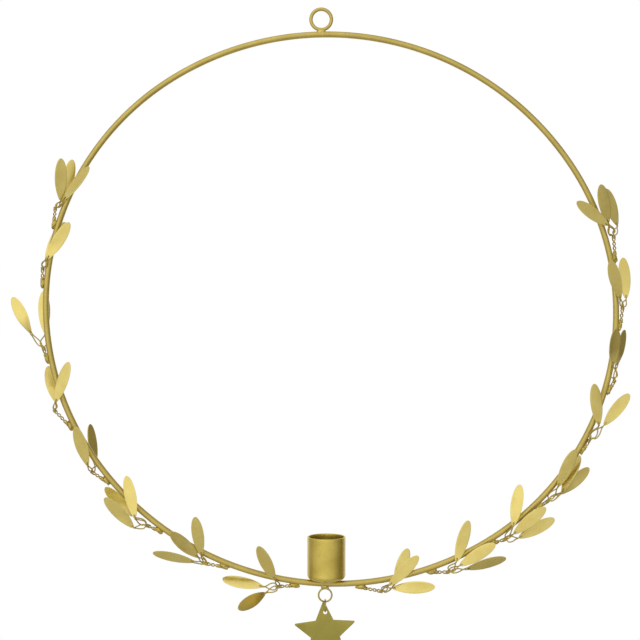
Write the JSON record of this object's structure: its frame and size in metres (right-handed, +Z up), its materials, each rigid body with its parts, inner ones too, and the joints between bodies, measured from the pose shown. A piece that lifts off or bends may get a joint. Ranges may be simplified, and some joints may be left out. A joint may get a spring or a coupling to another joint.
{
  "type": "candle ring",
  "caption": "Hanging wire hoop with a candle cup inside its bottom, sprigs of sheet leaves on twisted wire stems round its rim and a flat star swinging from rings below.",
  "frame": {"origin": "the point of the hanging loop that bears on a hook: the inner top of its eye, in the hoop's plane", "axes": "+Z up from the star to the hanging loop, +X to the right in the front view, +Y through the hoop from the front to the back"},
  "size_m": [0.4083, 0.0458, 0.4264],
  "materials": {
    "hoop_wire": "satin",
    "braze": "satin",
    "cup": "satin",
    "stem_wire": "satin",
    "leaf_sheet": "satin",
    "ring_wire": "satin",
    "star_sheet": "satin"
  },
  "bodies": {
    "ring": {"candle_cup": "cup", "cup_braze": "braze", "hanging_loop": "hoop_wire", "hoop": "hoop_wire", "loop_braze": "braze", "pendant_braze": "braze", "pendant_ring": "ring_wire", "sprig_left_1_leaves": "leaf_sheet", "sprig_left_1_stem": "stem_wire", "sprig_left_2_leaves": "leaf_sheet", "sprig_left_2_stem": "stem_wire", "sprig_left_3_leaves": "leaf_sheet", "sprig_left_3_stem": "stem_wire", "sprig_left_4_leaves": "leaf_sheet", "sprig_left_4_stem": "stem_wire", "sprig_left_5_leaves": "leaf_sheet", "sprig_left_5_stem": "stem_wire", "sprig_left_6_leaves": "leaf_sheet", "sprig_left_6_stem": "stem_wire", "sprig_left_7_leaves": "leaf_sheet", "sprig_left_7_stem": "stem_wire", "sprig_left_8_leaves": "leaf_sheet", "sprig_left_8_stem": "stem_wire", "sprig_right_1_leaves": "leaf_sheet", "sprig_right_1_stem": "stem_wire", "sprig_right_2_leaves": "leaf_sheet", "sprig_right_2_stem": "stem_wire", "sprig_right_3_leaves": "leaf_sheet", "sprig_right_3_stem": "stem_wire", "sprig_right_4_leaves": "leaf_sheet", "sprig_right_4_stem": "stem_wire", "sprig_right_5_leaves": "leaf_sheet", "sprig_right_5_stem": "stem_wire", "sprig_right_6_leaves": "leaf_sheet", "sprig_right_6_stem": "stem_wire", "sprig_right_7_leaves": "leaf_sheet", "sprig_right_7_stem": "stem_wire", "sprig_right_8_leaves": "leaf_sheet", "sprig_right_8_stem": "stem_wire"},
    "link": {"link_ring": "ring_wire"},
    "star": {"star": "star_sheet"}
  },
  "joints": [
    {"name": "link_swing", "type": "hinge", "parent": "ring", "child": "link", "pos_m": [0.0026, 0, -0.38691], "axis": [1, 0, 0], "range_deg": [-60, 60]},
    {"name": "star_swing", "type": "hinge", "parent": "link", "child": "star", "pos_m": [0.0026, -0.00057, -0.39314], "axis": [0, 1, 0], "range_deg": [-40, 40]}
  ]
}
